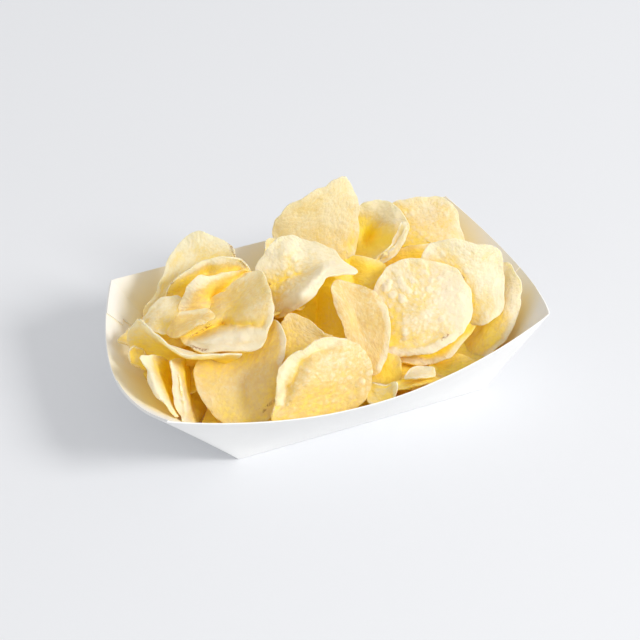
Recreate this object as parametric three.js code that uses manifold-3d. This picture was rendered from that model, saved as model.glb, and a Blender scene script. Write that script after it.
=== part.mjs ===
// A folded paper food tray heaped with potato crisps, in millimetres, +Z up.
// The origin is the centre of the tray's flat base, on its underside. +X runs along the tray.
import * as THREE from 'three';
import Module from 'manifold-3d';

const wasm = await Module();
wasm.setup();

// ---------------------------------------------------------------- driving sizes

const BASE = { length: 128, width: 84.5 };
const RIM = { length: 180, width: 109, height: 46 };
// Paper pressed outward by its load: the rim of each wall bows out and dips between its corners.
const LONG_WALL = { bow: 14.4, dip: 10.7 };
const END_WALL = { bow: 12.7, dip: 10.8 };
const EASED_CORNER = { out: 11.3, drop: 1 };
const PAPER = 0.6;
// Each corner is folded into a flap that is glued to the inside of the end wall.
const FLAP = { share: 0.34, paper: 0.45, edge: 0.012 };
const WALL_STEPS = 16;
const WALL_LEVELS = 2;

const GAP = 0.3;
const OUTSIDE_REACH = 4;

const CRISP = { thickness: 1.4, sides: 14, rings: [0.6, 1], ripple: 0.9, ripples: 3 };
const PLAIN_CRISP = { ...CRISP, sides: 11, rings: [1] };

// The middle of each crisp, its length and width, how far it leans back from lying flat, the
// way it faces, the turn of its outline, its two curls in degrees, and the places where its
// rim is drawn out or in: the angle round the rim, the move, and how far the pull reaches.
const CRISPS = [
  { name: 'peak', at: [11, 39, 57], size: [44, 48], lean: 62, facing: -20, curl: [-50, -10],
    pulls: [[62, [0, 3, 0], 16], [118, [3, -6, 0], 24]] },
  { name: 'saddle', at: [-10, 3, 56], size: [48, 42], lean: 32, facing: -15, spin: 18,
    curl: [-30, 75],
    pulls: [[0, [6, -4, 3], 22], [-50, [-8, 9, 0], 26]] },
  { name: 'lipped', at: [-50, 2, 51], size: [48, 39], lean: 42, facing: -5, spin: 20, curl: [-30, 75],
    pulls: [[135, [4, -6, 0], 22]] },
  { name: 'leaf', at: [-72, -3, 40], size: [68, 20], lean: 65, spin: -8, curl: [25, 30] },
  { name: 'stack_back', at: [-53, 29, 54], size: [36, 42], lean: 62, facing: -40, curl: [20, -20] },
  { name: 'stack_middle', at: [-52, 15, 50], size: [44, 40], lean: 58, facing: -30, curl: [20, -20] },
  { name: 'stack_front', at: [-50, 11, 45], size: [42, 38], lean: 56, facing: -30, curl: [20, -20] },
  { name: 'left_shelf', at: [-74, 15, 40], size: [32, 32], lean: 50, facing: -30, spin: 20,
    curl: [-20, -20] },
  { name: 'left_chip', at: [-66, 9, 40], size: [30, 24], lean: 40, facing: -20, spin: 20,
    curl: [-20, -20] },
  { name: 'left_tip', at: [-86, 7, 34], size: [30, 18], lean: 55, facing: 10, spin: 30, curl: [20, 10] },
  { name: 'slice_outer', at: [-88, -18, 31], size: [40, 30], lean: 60, facing: 74, spin: 90,
    curl: [0, 25] },
  { name: 'slice_inner', at: [-81, -22, 31], size: [38, 34], lean: 70, facing: 56, spin: 90,
    curl: [0, 25] },
  { name: 'front_disc', at: [-56, -27, 28], size: [46, 42], lean: 58, facing: -20, curl: [-70, 0] },
  { name: 'front_blistered', at: [-25, -46, 37], size: [48, 40], lean: 64, facing: -24, curl: [20, -20],
    pulls: [[180, [4, 0, 10], 16]] },
  { name: 'front_behind', at: [-19, -26, 34], size: [46, 38], lean: 50, facing: -30, spin: -15,
    curl: [20, 10] },
  { name: 'under_saddle', at: [-1, 5, 33], size: [44, 38], lean: 75, facing: -50, curl: [-30, 10] },
  { name: 'centre_disc', at: [7, -24, 44], size: [31, 43], lean: 68, facing: -48, spin: -12,
    curl: [30, 10] },
  { name: 'right_blistered', at: [37, -26, 46], size: [45, 48], lean: 52, facing: -15, spin: -10,
    curl: [20, 20] },
  { name: 'right_under', at: [36, -25, 40], size: [42, 46], lean: 52, facing: -15, spin: -10,
    curl: [20, 20] },
  { name: 'right_pale', at: [57, -26, 47], size: [46, 50], lean: 50, facing: -20, spin: 15, curl: [30, 10] },
  { name: 'right_low', at: [67, -29, 34], size: [44, 46], lean: 55, facing: -30, spin: -10, curl: [40, 20] },
  { name: 'curled_back', at: [35, 32, 50], size: [44, 38], lean: 45, facing: -35, spin: 30, curl: [70, 60] },
  { name: 'back_right', at: [59, 28, 44], size: [50, 42], lean: 56, facing: -12, curl: [20, 10] },
  { name: 'back_corner', at: [75, 30, 40], size: [36, 36], lean: 58, curl: [20, 10] },
  { name: 'back_bit', at: [-4, 36, 42], size: [36, 34], lean: 60, facing: -35, curl: [20, 10] },
  { name: 'front_bit', at: [6, -52, 34], size: [20, 22], lean: 55, facing: -25, curl: [30, 10] },
  { name: 'front_lip', at: [21, -57, 34], size: [26, 14], lean: 25, facing: -20, curl: [30, 10] },
  { name: 'front_tip', at: [1, -60, 33], size: [20, 10], lean: 30, facing: -20, spin: -20, curl: [30, 10] },
  { name: 'front_right', at: [41, -45, 31], size: [46, 24], lean: 38, facing: -22, curl: [30, 10] },
];

// Rows of crisps behind and between those, each row from one place to another, its crisps
// turning from one facing to the next.
const ROWS = [
  { from: [-62, 36, 32], to: [72, 38, 34], count: 5, lean: -45, facing: [10, -25] },
  { from: [76, 16, 36], to: [74, -8, 35], count: 2, lean: 38, facing: [95, 75] },
  { from: [-70, 27, 33], to: [-68, -2, 29], count: 2, lean: 30, facing: [-110, -70] },
  { from: [-26, 22, 39], to: [72, 6, 40], count: 4, lean: 12, facing: [170, 60] },
  { from: [-56, -37, 21], to: [52, -41, 27], count: 4, lean: -6, facing: [-10, -20] },
];
const ROW_CRISP = { length: 42, width: 38, spread: 3, pace: 2.4, turn: 40, curl: [14, 6] };

// The mound of broken crisps at the bottom: for each ring its height and how much of the
// tray's inside it fills there.
const MOUND = { middle: [4, 0], clear: 1.5, sides: 32, floorGap: GAP,
  rings: [[0, 1], [16, 0.94], [26, 0.78], [32, 0.5], [34, 0.25]] };

// ---------------------------------------------------------------- helpers

const radians = THREE.MathUtils.degToRad;

function geometryOf(positions, triangles) {
  const geometry = new THREE.BufferGeometry();
  geometry.setAttribute('position', new THREE.Float32BufferAttribute(positions.flat(), 3));
  geometry.setIndex(triangles.flat());
  return geometry;
}

function solidOf(geometry) {
  const mesh = new wasm.Mesh({
    numProp: 3,
    vertProperties: new Float32Array(geometry.attributes.position.array),
    triVerts: new Uint32Array(geometry.index.array),
  });
  return new wasm.Manifold(mesh);
}

function geometryOfSolid(solid) {
  const { vertProperties, triVerts } = solid.getMesh();
  const geometry = new THREE.BufferGeometry();
  geometry.setAttribute('position', new THREE.BufferAttribute(vertProperties, 3));
  geometry.setIndex(new THREE.BufferAttribute(triVerts, 1));
  return geometry;
}

function addStrip(triangles, lower, upper, count) {
  for (let i = 0; i < count; i += 1) {
    const next = (i + 1) % count;
    triangles.push([lower + i, lower + next, upper + next], [lower + i, upper + next, upper + i]);
  }
}

// ---------------------------------------------------------------- the paper tray

const corner = ({ length, width }, height, sx, sy) => (
  new THREE.Vector3(sx * length / 2, sy * width / 2, height)
);

// The walls anticlockwise from above, each with the corners of its base and rim edges.
function wallsOfTray() {
  const signs = [[-1, -1], [1, -1], [1, 1], [-1, 1]];
  const base = signs.map(([sx, sy]) => corner(BASE, 0, sx, sy));
  const rim = signs.map(([sx, sy]) => corner(RIM, RIM.height, sx, sy));
  rim[0].x -= EASED_CORNER.out;
  rim[0].z -= EASED_CORNER.drop;
  const outward = [[0, -1], [1, 0], [0, 1], [-1, 0]];
  return outward.map(([ox, oy], i) => ({
    base: [base[i], base[(i + 1) % 4]],
    rim: [rim[i], rim[(i + 1) % 4]],
    outward: new THREE.Vector3(ox, oy, 0),
    shape: ox === 0 ? LONG_WALL : END_WALL,
    flapped: ox !== 0,
  }));
}

// How far along a wall its points lie: even steps, with two close together at a flap's edge.
function stationsOf(wall) {
  const stations = Array.from({ length: WALL_STEPS }, (_, i) => i / WALL_STEPS);
  if (wall.flapped) {
    for (const edge of [FLAP.share, 1 - FLAP.share]) {
      stations.push(edge - FLAP.edge / 2, edge + FLAP.edge / 2);
    }
  }
  return stations.sort((a, b) => a - b);
}

// One profile for each station round the tray: its base point, its rim point and its paper.
function profilesOfTray() {
  const profiles = [];
  for (const wall of wallsOfTray()) {
    for (const t of stationsOf(wall)) {
      const belly = 4 * t * (1 - t);
      const base = wall.base[0].clone().lerp(wall.base[1], t);
      const rim = wall.rim[0].clone().lerp(wall.rim[1], t);
      rim.addScaledVector(wall.outward, wall.shape.bow * belly);
      rim.z -= wall.shape.dip * belly;
      const onFlap = wall.flapped && Math.min(t, 1 - t) < FLAP.share;
      profiles.push({ base, rim, paper: PAPER + (onFlap ? FLAP.paper : 0) });
    }
  }
  return profiles;
}

// The offset that moves a point off both wall faces that meet there, by one millimetre each.
function mitreAt(profiles, i, share) {
  const count = profiles.length;
  const at = (k) => {
    const { base, rim } = profiles[(k + count) % count];
    return base.clone().lerp(rim, share);
  };
  const rise = profiles[i].rim.clone().sub(profiles[i].base);
  const before = at(i).sub(at(i - 1)).cross(rise).normalize().negate();
  const after = at(i + 1).sub(at(i)).cross(rise).normalize().negate();
  return before.clone().add(after).divideScalar(1 + before.dot(after));
}

// A skin of the tray moved inward by inset(paper), its floor at the height floor.
function skinOfTray(profiles, inset, floor, above) {
  const rings = [];
  for (let level = 0; level <= WALL_LEVELS; level += 1) {
    rings.push(profiles.map(({ base, rim, paper }, i) => {
      const depth = inset(paper);
      const foot = mitreAt(profiles, i, 0);
      const lowest = (floor - foot.z * depth) / rim.z;
      const highest = 1 + above / RIM.height;
      const share = lowest + (highest - lowest) * level / WALL_LEVELS;
      const point = base.clone().lerp(rim, share);
      return point.addScaledVector(mitreAt(profiles, i, Math.max(0, share)), depth).toArray();
    }));
  }
  return rings;
}

// A shell with an outer and an inner skin, closed over the rim and across both floors.
function shellOfTray({ outset = 0, inset = 0, above = 0 }) {
  const profiles = profilesOfTray();
  const count = profiles.length;
  const outer = skinOfTray(profiles, () => -outset, -outset, above);
  const inner = skinOfTray(profiles, (paper) => paper + inset, PAPER + inset, above);
  const positions = [...outer.flat(), ...inner.flat()];
  const triangles = [];
  const levels = WALL_LEVELS + 1;
  const innerStart = levels * count;
  for (let level = 0; level < WALL_LEVELS; level += 1) {
    addStrip(triangles, level * count, (level + 1) * count, count);
    addStrip(triangles, innerStart + (level + 1) * count, innerStart + level * count, count);
  }
  addStrip(triangles, WALL_LEVELS * count, innerStart + WALL_LEVELS * count, count);
  const underside = positions.push([0, 0, -outset]) - 1;
  const floor = positions.push([0, 0, PAPER + inset]) - 1;
  for (let i = 0; i < count; i += 1) {
    const next = (i + 1) % count;
    triangles.push([underside, next, i], [floor, innerStart + i, innerStart + next]);
  }
  return geometryOf(positions, triangles);
}

// ---------------------------------------------------------------- the crisps

const smoothstep = (t) => THREE.MathUtils.smoothstep(t, 0, 1);

// Bends the sheet along one of its own axes so that its two ends together turn by the angle.
function bend(points, axis, angle) {
  if (!angle) return;
  const across = points.map((point) => point[axis]);
  const rate = radians(angle) / (Math.max(...across) - Math.min(...across));
  for (const point of points) {
    const turn = point[axis] * rate;
    const height = point.z;
    point[axis] = (1 / rate - height) * Math.sin(turn);
    point.z = height * Math.cos(turn) + (1 - Math.cos(turn)) / rate;
  }
}

function sheetOfCrisp({ size, pulls = [], curl }, { sides, rings, ripple, ripples }, order) {
  const onOval = (share, angle, height) => new THREE.Vector3(
    share * size[0] / 2 * Math.cos(angle), share * size[1] / 2 * Math.sin(angle), height);
  const points = [new THREE.Vector3()];
  for (const ring of rings) {
    for (let i = 0; i < sides; i += 1) {
      const angle = 2 * Math.PI * i / sides;
      points.push(onOval(ring, angle, ripple * ring ** 2 * Math.cos(ripples * angle + order)));
    }
  }
  for (const [angle, move, reach] of pulls) {
    const rimPoint = onOval(1, radians(angle), 0);
    const shares = points.map((point) => smoothstep(1 - point.distanceTo(rimPoint) / reach));
    points.forEach((point, i) => point.addScaledVector(new THREE.Vector3(...move), shares[i]));
  }
  bend(points, 'x', curl[0]);
  bend(points, 'y', curl[1]);
  return points;
}

function trianglesOfSheet({ sides, rings }) {
  const triangles = [];
  for (let i = 0; i < sides; i += 1) triangles.push([0, 1 + i, 1 + (i + 1) % sides]);
  for (let ring = 1; ring < rings.length; ring += 1) {
    addStrip(triangles, 1 + ring * sides, 1 + (ring - 1) * sides, sides);
  }
  return triangles;
}

function crispSolid(crisp, order) {
  const form = crisp.form ?? CRISP;
  const sheet = sheetOfCrisp(crisp, form, order);
  const facets = trianglesOfSheet(form);
  const face = geometryOf(sheet.map((point) => point.toArray()), facets);
  face.computeVertexNormals();
  const normals = face.attributes.normal;
  const sides = [0.5, -0.5].flatMap((share) => sheet.map((point, i) => {
    const normal = new THREE.Vector3().fromBufferAttribute(normals, i);
    return point.clone().addScaledVector(normal, share * form.thickness).toArray();
  }));
  const under = sheet.length;
  const triangles = [...facets, ...facets.map(([a, b, c]) => [under + a, under + c, under + b])];
  const edge = 1 + (form.rings.length - 1) * form.sides;
  addStrip(triangles, under + edge, edge, form.sides);
  const geometry = geometryOf(sides, triangles);
  const { at, lean, facing = 0, spin = 0 } = crisp;
  geometry.rotateZ(radians(spin)).rotateX(radians(lean)).rotateZ(radians(facing)).translate(...at);
  return solidOf(geometry);
}

// ---------------------------------------------------------------- the heap

function moundSolid() {
  const profiles = profilesOfTray();
  const positions = [];
  const { middle, clear, sides, rings, floorGap } = MOUND;
  for (const [height, fill] of rings) {
    for (let i = 0; i < sides; i += 1) {
      const { base, rim, paper } = profiles[Math.round(i * profiles.length / sides)];
      const z = paper + floorGap + height;
      const wall = base.clone().lerp(rim, Math.min(z, RIM.height - LONG_WALL.dip) / rim.z);
      const reach = wall.setZ(0).sub(new THREE.Vector3(...middle, 0));
      reach.setLength((reach.length() - paper - clear) * fill);
      positions.push([middle[0] + reach.x, middle[1] + reach.y, z]);
    }
  }
  const triangles = [];
  for (let ring = 1; ring < rings.length; ring += 1) {
    addStrip(triangles, (ring - 1) * sides, ring * sides, sides);
  }
  const underside = positions.push([...middle, PAPER + floorGap]) - 1;
  const top = positions.push([...middle, PAPER + floorGap + rings.at(-1)[0] + 1]) - 1;
  const last = (rings.length - 1) * sides;
  for (let i = 0; i < sides; i += 1) {
    const next = (i + 1) % sides;
    triangles.push([underside, next, i], [top, last + i, last + next]);
  }
  return solidOf(geometryOf(positions, triangles));
}

// The crisps of every row, evenly along it, no two quite alike.
function crispsOfRows() {
  const { length, width, spread, pace, turn, curl } = ROW_CRISP;
  const crisps = [];
  for (const { from, to, count, lean, facing } of ROWS) {
    for (let i = 0; i < count; i += 1) {
      const share = i / (count - 1);
      const uneven = spread * Math.sin(pace * crisps.length);
      crisps.push({
        at: from.map((value, axis) => THREE.MathUtils.lerp(value, to[axis], share)),
        size: [length + uneven, width - uneven],
        lean: lean + 2 * uneven,
        facing: THREE.MathUtils.lerp(facing[0], facing[1], share),
        spin: turn * crisps.length,
        curl,
        form: PLAIN_CRISP,
      });
    }
  }
  return crisps;
}

// The mound and every crisp as one body, cut clear of the paper, without scraps or sealed hollows.
function heapGeometry() {
  const keepOut = solidOf(shellOfTray({ outset: OUTSIDE_REACH, inset: GAP, above: GAP }));
  const all = [...CRISPS, ...crispsOfRows()];
  const joined = all.reduce((heap, crisp, i) => heap.add(crispSolid(crisp, i)), moundSolid());
  const pieces = joined.subtract(keepOut).decompose();
  const largest = pieces.reduce((best, piece) => (piece.volume() > best.volume() ? piece : best));
  return geometryOfSolid(largest);
}

// ---------------------------------------------------------------- the part

const paper = new THREE.MeshStandardMaterial({ color: 0xf1f2f1, roughness: 0.75, metalness: 0 });
const fried = new THREE.MeshStandardMaterial({ color: 0xf0d890, roughness: 0.6, metalness: 0 });

const tray = new THREE.Mesh(shellOfTray({}), paper);
tray.name = 'tray';
const crisps = new THREE.Mesh(heapGeometry(), fried);
crisps.name = 'crisps';

const group = new THREE.Group();
group.add(tray, crisps);

export default group;
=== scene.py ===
"""A folded white paper tray heaped with potato crisps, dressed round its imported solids."""

import math

import bpy
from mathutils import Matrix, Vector, noise


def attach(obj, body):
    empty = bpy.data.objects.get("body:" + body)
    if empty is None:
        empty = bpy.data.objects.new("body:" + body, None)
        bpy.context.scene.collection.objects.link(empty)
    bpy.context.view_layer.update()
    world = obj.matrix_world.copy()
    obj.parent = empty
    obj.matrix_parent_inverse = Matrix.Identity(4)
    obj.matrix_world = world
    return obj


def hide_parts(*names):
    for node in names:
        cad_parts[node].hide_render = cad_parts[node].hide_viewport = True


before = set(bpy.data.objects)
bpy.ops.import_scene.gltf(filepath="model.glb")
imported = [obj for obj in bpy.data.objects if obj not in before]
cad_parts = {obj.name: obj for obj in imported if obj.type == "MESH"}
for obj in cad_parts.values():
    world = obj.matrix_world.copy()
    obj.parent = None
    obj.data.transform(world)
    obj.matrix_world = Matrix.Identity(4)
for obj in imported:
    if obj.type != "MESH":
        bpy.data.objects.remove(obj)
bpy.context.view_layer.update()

# Lengths in this script are in millimetres until MM makes them the scene's metres.
MM = 0.001
# How close a point lies to a place to count as being there: on the tray, and on the bench where
# each crisp is shaped in millimetres.
ON_TRAY = 0.01 * MM
ON_BENCH = 0.0001

# ---------------------------------------------------------------- sizes of the tray

BASE = (128, 84.5)
RIM = (180, 109, 46)
# The rim of each wall bows out and dips between its corners.
LONG_WALL = {"bow": 14.4, "dip": 10.7}
END_WALL = {"bow": 12.7, "dip": 10.8}
EASED_CORNER = (-11.3, 0, -1)
PAPER = 0.6
WALL_STEPS = 32
WALL_LEVELS = 10
# How round the folds are: at a corner's rim and foot, and where the walls leave the base.
FOLD = {"rim": 3.2, "foot": 0.9, "base": 0.8, "segments": 3}
# The flaps glued inside the end walls: end, side, and how far along the rim each one runs.
FLAPS = [(-1, -1, 0.45), (-1, 1, 0.16), (1, -1, 0.3), (1, 1, 0.55)]
FLAP = {"paper": 0.45, "glue": 0.06, "trim": 1.2}
# The walls are uneven by so much, all of it from this height up.
UNEVEN = {"depth": 0.7, "full_from": 8}
# The room for the crisps goes on above the rim, and widens.
ROOM = {"rise": 60, "widening": 1.12}

# ---------------------------------------------------------------- sizes of the crisps

CRISP = {"thickness": 0.9, "edge": 0.15, "clear": 0.15}
# Most crisps lean back so that they face the front of the tray.
LEAN = 53
FACING = -24
# How finely a round is divided before it is shaped, and how often that is halved after.
FINE = {"sides": 40, "rings": 10, "halvings": 2}
SMALL = {"sides": 24, "rings": 6, "halvings": 2}
PLAIN = {"sides": 32, "rings": 8, "halvings": 1}
# How far round a held place the sheet follows when it is brought to its outline.
TAKE_UP = 8
# The depth of a sheet's unevenness, the share of it that its middle takes, and how high the
# small blisters stand beside the big ones.
RELIEF = {"waves": 7, "buckles": 2, "dimples": 0.55, "at_middle": 0.12, "small": 0.6}
# Where blisters come: how fine the patches are, and how much of the sheet they take.
PATCHES = {"fineness": 0.07, "step": 2.3, "share": 0.8, "spread": 1.3}
# Each crisp has a spot of its own on the bench and in the colour pattern, so no two are alike.
BENCH = {"step": 90, "back": 50}
PATTERN_STEP = 0.11

# Where the middle of each crisp is, and how it leans and faces where that is unlike most. "rim"
# is its outline: places from the right-hand one anticlockwise, each so far to the right, up and
# forwards of its middle. "folds" press the sheet along a line from one place to another, by a
# depth and over a width, and "bubbles" stand at a place with a radius and a height. The lines of
# lighter crust and painted highlight, where rims and flanks catch the light, the lines of painted
# shade in deep gold, where a crisp lies in shadow, and the "marks" of brown skin each take a width,
# then the places that the line goes through. "tint" runs from cream to deep gold, and the deep
# gold of the crisps that lie in shade is partly painted shade; "toast" is how browned the crisp is,
# "blisters" how high its blisters stand, and "form" how finely it is divided.
CRISPS = [
    dict(name="peak", at=(11, 39, 57), lean=60, facing=-22, tint=0.15, toast=0.2,
         rim=[(21.5, -2, -4), (21.5, 6, -4), (20.5, 13, -4), (18.5, 19, -4), (15, 25, -4),
              (11, 24.5, -3), (4, 20, -2), (-5, 16, -1), (-13.5, 12, -2), (-18.5, 6, -4),
              (-22, -3.5, -7), (-18.5, -12, -6), (-9.5, -19, -3), (1.5, -22, 0), (12, -20.5, 0),
              (19, -14, -2)]),
    dict(name="saddle", at=(-10, 3, 56), tint=-0.15, blisters=0.4,
         rim=[(26, 5, 2), (16, 11.5, -3), (10.5, 16.5, -6), (3.5, 19, -8), (-3, 20.5, -10),
              (-9, 21.5, -10), (-14.5, 19.5, -9), (-20, 13, -7), (-24.5, 5, -6),
              (-20.5, -1.5, -4), (-16, -8, -3), (-14.5, -18, -1), (-7.5, -15, 4), (0.5, -9, 7),
              (6.5, -3, 8), (10, 3, 6)],
         middle=(-6, 4, -3),
         folds=[((-11.5, 12), (-8.5, 14), 4, 11), ((-17.5, -3), (-2.5, 3), -4, 8),
                ((-2.5, 3), (12.5, 10.5), -1, 7), ((-9, -11), (-2, -6.5), 5, 7),
                ((-2, -6.5), (8.5, 5.5), 5, 7)],
         pale_and_highlight=[(5, (-10.5, -12.5), (-2, -7.5), (9.5, 4.5)), (5, (16, 9), (24.5, 5.5))],
         marks=[(1.5, (-19.5, -0.5), (-17.5, -1))]),
    dict(name="lipped", at=(-49, 1, 49), tint=0.5, toast=0.45,
         rim=[(21, 3, 8), (20, 9.5, 7), (17.5, 15, 6), (14.5, 20.5, 3), (10, 21, 1),
              (4.5, 17.5, -2), (-2.5, 11, -6), (-11, 7, -10), (-20, 3.5, -13), (-23.5, -5, -7),
              (-23, -11.5, 6), (-18, -14.5, 13), (-9.5, -16, 16), (3, -16, 17), (14, -16.5, 15),
              (18.5, -8, 11)],
         middle=(0, 2, -2),
         folds=[((-19, -10.5), (-4, -4), -6, 7), ((-4, -4), (14.5, -5.5), -6, 6),
                ((-11, -10.5), (-9, -10.5), 2, 4), ((2.5, -8), (6, -9.5), 2, 5),
                ((-19, -13.5), (-11.5, -14.5), -3, 3)],
         pale_and_highlight=[(6, (-16, -13.5), (-3.5, -10), (9.5, -8.5), (17, -8.5)),
               (4, (-11, -15), (13.5, -15)), (2.5, (21, 7.5), (18.5, -8.5))],
         marks=[(0.8, (-19, -10), (-9.5, -4)), (0.8, (-18, -14), (-10, -15))]),
    dict(name="leaf", at=(-72, -3, 40), tint=0.4, toast=0.15,
         rim=[(27, -2.5, 12), (20, -2.5, 14), (13, -2.5, 16), (5.5, -2.5, 17), (-1, -1.5, 17),
              (-7, 2, 15), (-13, 6, 12), (-18.5, 10.5, 9), (-23.5, 14, 4), (-28, 7.5, -2),
              (-27, 0, -4), (-21.5, -4, -6), (-13.5, -6.5, -7), (-3.5, -7.5, -7), (7.5, -7, -4),
              (18.5, -5.5, 2)],
         pale_and_highlight=[(3.5, (-18.5, 11), (-12, 5.5), (-3.5, 0), (6.5, -2), (29, -2))],
         painted_shade=[(3, (0.5, -6), (22, -5))]),
    dict(name="stack_back", at=(-51, 32, 56), tint=-0.45,
         rim=[(19.5, 1.5, -4), (16, 6.5, -3), (14.5, 10.5, -4), (9, 14, -5), (4.5, 16.5, -7),
              (-1.5, 18.5, -8), (-7, 16.5, -8), (-12, 11.5, -6), (-16, 7, -4), (-18.5, -2.5, -3),
              (-21.5, -11, -4), (-29.5, -23.5, -4), (-17.5, -19.5, 0), (-5.5, -14.5, 1),
              (5, -11, 1), (14, -5, -1)],
         marks=[(1, (12.5, 12), (16, 6))]),
    dict(name="stack_middle", at=(-50, 20, 52), tint=0.1, toast=0.35,
         rim=[(18.5, 7, -2), (15, 12, -2), (11, 15, -1), (5.5, 15.5, 1), (-1, 14, 2),
              (-8, 11.5, 3), (-14.5, 7, 3), (-20, 2.5, 1), (-22.5, -4, -2), (-15, -12, 0),
              (-0.5, -13.5, 0), (11.5, -5, -2)],
         folds=[((-16, -1.5), (-3.5, 8), -3, 6), ((-3.5, 8), (11.5, 10), -2, 8)],
         pale_and_highlight=[(3, (-15.5, 6.5), (-6, 12), (7, 15.5), (15.5, 11.5))],
         painted_shade=[(4, (-15, -3.5), (-6.5, 2.5), (10.5, 8))],
         marks=[(1, (12.5, 14), (15.5, 10.5)), (1, (-20.5, 2.5), (-19.5, 3.5))]),
    dict(name="stack_front", at=(-49, 12, 50), tint=0.3, toast=0.85,
         rim=[(16, 11, -6), (13, 14, -6), (7, 14, -4), (0, 13, -1), (-6.5, 12, 2), (-12.5, 10, 4),
              (-16, 6, 5), (-18.5, 0.5, 4), (-19, -6, 3), (-10, -10.5, 2), (2, -8, 0),
              (11, -0.5, -3)],
         folds=[((-14, 4.5), (-9, 8), 3, 7), ((-3.5, 2.5), (9.5, 10), -5, 8)],
         pale_and_highlight=[(5, (-17.5, -1.5), (-15.5, 6), (-10, 10)), (2.5, (-10, 10), (6.5, 14))],
         painted_shade=[(6, (-3.5, 3.5), (10.5, 10))]),
    dict(name="left_shelf", at=(-75, 18, 47), tint=-0.1,
         rim=[(9.5, 2, 0), (8, 6.5, -1), (4, 8.5, -2), (-1.5, 7.5, -2), (-5.5, 4, -2),
              (-9, 0.5, -2), (-12, -3, -2), (-8, -6, 1), (-4, -9.5, 3), (0, -11, 4), (4.5, -6, 3),
              (8, -2, 1)]),
    dict(name="left_chip", at=(-69, 2, 47), tint=0.4, toast=0.75,
         rim=[(13, 5.5, 4), (10, 8, 2), (5.5, 8.5, 0), (0.5, 8.5, -1), (-4, 8, -2), (-7, 5, -2),
              (-9.5, 1, -2), (-11, -3, -1), (-5.5, -4, 2), (0, -1.5, 4), (4.5, 1.5, 5),
              (9, 3.5, 5)],
         pale_and_highlight=[(2, (-4, 7.5), (7.5, 8))]),
    dict(name="left_tip", at=(-92, 18, 40), tint=0.2, toast=0.4, form=SMALL,
         rim=[(7, 1.5, 0), (4.5, 7, 0), (1, 3.5, 0), (-3, 1, 0), (-7, -3, 0), (-3, -5.5, 0),
              (2, -6, 0), (6, -3, 0)]),
    dict(name="left_shoulder", at=(-94, 3, 37), tint=0, toast=0.3, form=SMALL,
         rim=[(4, -2, -4), (2, 3, -3), (-1, 5, -1), (-4, 5, 0), (-5, 2, 0), (-4, -3, 0),
              (0.5, -4.5, 1), (3.5, -5.5, 0)]),
    dict(name="slice_outer", at=(-89, -19, 31), tint=-0.2,
         rim=[(4.5, -0.5, -22), (3.5, 8, -22), (0, 13.5, -15), (-6.5, 17.5, -3), (-10, 17.5, 6),
              (-8.5, 12, 8), (-7.5, 6, 9), (-4.5, 1, 10), (-1, -3.5, 9), (4.5, -11.5, 4),
              (6.5, -11, -10), (6, -6, -18)],
         folds=[((-6, 9.5), (-0.5, -2.5), 5, 6)],
         pale_and_highlight=[(3, (-9.5, 16.5), (-7.5, 6), (-1, -3.5), (4, -11))]),
    dict(name="slice_inner", at=(-77, -20, 30), tint=0.3,
         rim=[(3.5, -3.5, -22), (2.5, 5.5, -22), (-2, 12, -17), (-6, 14.5, -5), (-9.5, 13.5, 4),
              (-8.5, 8.5, 6), (-8, 3, 8), (-7.5, -3, 9), (-6.5, -9, 8), (-2, -15, 6),
              (3, -15.5, -8), (4.5, -10.5, -18)],
         folds=[((-5, 8), (-1.5, -10.5), 5, 6)],
         pale_and_highlight=[(4, (-8.5, 11), (-7, 2), (-6, -4.5), (-1.5, -14))]),
    dict(name="front_disc", at=(-54, -24, 32), tint=0.35, toast=0.5,
         rim=[(18, 5.5, 3), (20, 13, 3), (19.5, 20.5, 0), (17, 26, -4), (9, 26, -10),
              (-1.5, 22, -14), (-10.5, 17.5, -12), (-17.5, 12, -5), (-21.5, 5.5, 1),
              (-21.5, -1.5, 4), (-19, -9, 6), (-13.5, -15.5, 6), (-6, -21, 6), (4, -22, 5),
              (14, -19, 6), (18.5, -6, 5)],
         folds=[((2, 0), (2.5, -15.5), -3, 11)],
         pale_and_highlight=[(2.5, (18, 24.5), (20, 13), (18.5, 7.5))],
         marks=[(1, (10, -15), (12, -12.5), (15.5, -10)), (1, (-14, -15), (-13, -15)),
                (1, (-5, -20.5), (-4, -21))]),
    dict(name="front_blistered", at=(-22, -47, 35), tint=0.3, toast=0.65, blisters=0.6,
         rim=[(21, 0, -4), (21, 7.5, -4), (19, 14, -3), (14, 19, -1), (7, 21.5, 1),
              (-1.5, 20.5, 4), (-9.5, 16.5, 7), (-16.5, 12, 9), (-21, 7, 12), (-21, -1.5, 12),
              (-21, -8.5, 11), (-25, -17, 8), (-15, -19, 3), (-1.5, -18, 0), (9, -13.5, -2),
              (18.5, -7.5, -3)],
         middle=(2, 0, 2),
         folds=[((5, 19.5), (-10.5, 12.5), -4, 5), ((-10.5, 12.5), (-17, -0.5), -6, 7),
                ((-17, -0.5), (-21, -13), -4, 5)],
         pale_and_highlight=[(4, (-19.5, -7), (-18.5, 4.5), (-14, 12), (-6, 17), (5.5, 20.5))]),
    dict(name="front_behind", at=(-21, -28, 38), tint=0.4, toast=0.5, blisters=0.3,
         rim=[(13.5, 7, 2), (10.5, 8.5, 1), (6.5, 11, 0), (1, 14.5, -2), (-5, 17.5, -3),
              (-11, 18.5, -4), (-14, 13.5, -4), (-14.5, 4.5, -3), (-12.5, -3.5, 0), (-5, -8, 0),
              (4.5, -5, 2), (11, 2.5, 3)]),
    dict(name="under_saddle", at=(0, -5, 45), tint=0.8,
         rim=[(8.5, -5, -2), (7.5, 7, -2), (1.5, 13.5, -3), (-6.5, 16.5, -6), (-17.5, 11.5, -8),
              (-23, 2, -8), (-22.5, -8.5, -6), (-19, -19.5, -4), (-10.5, -21.5, 0),
              (-1, -20.5, 2), (6, -19, 3), (8.5, -13, 0)],
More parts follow.
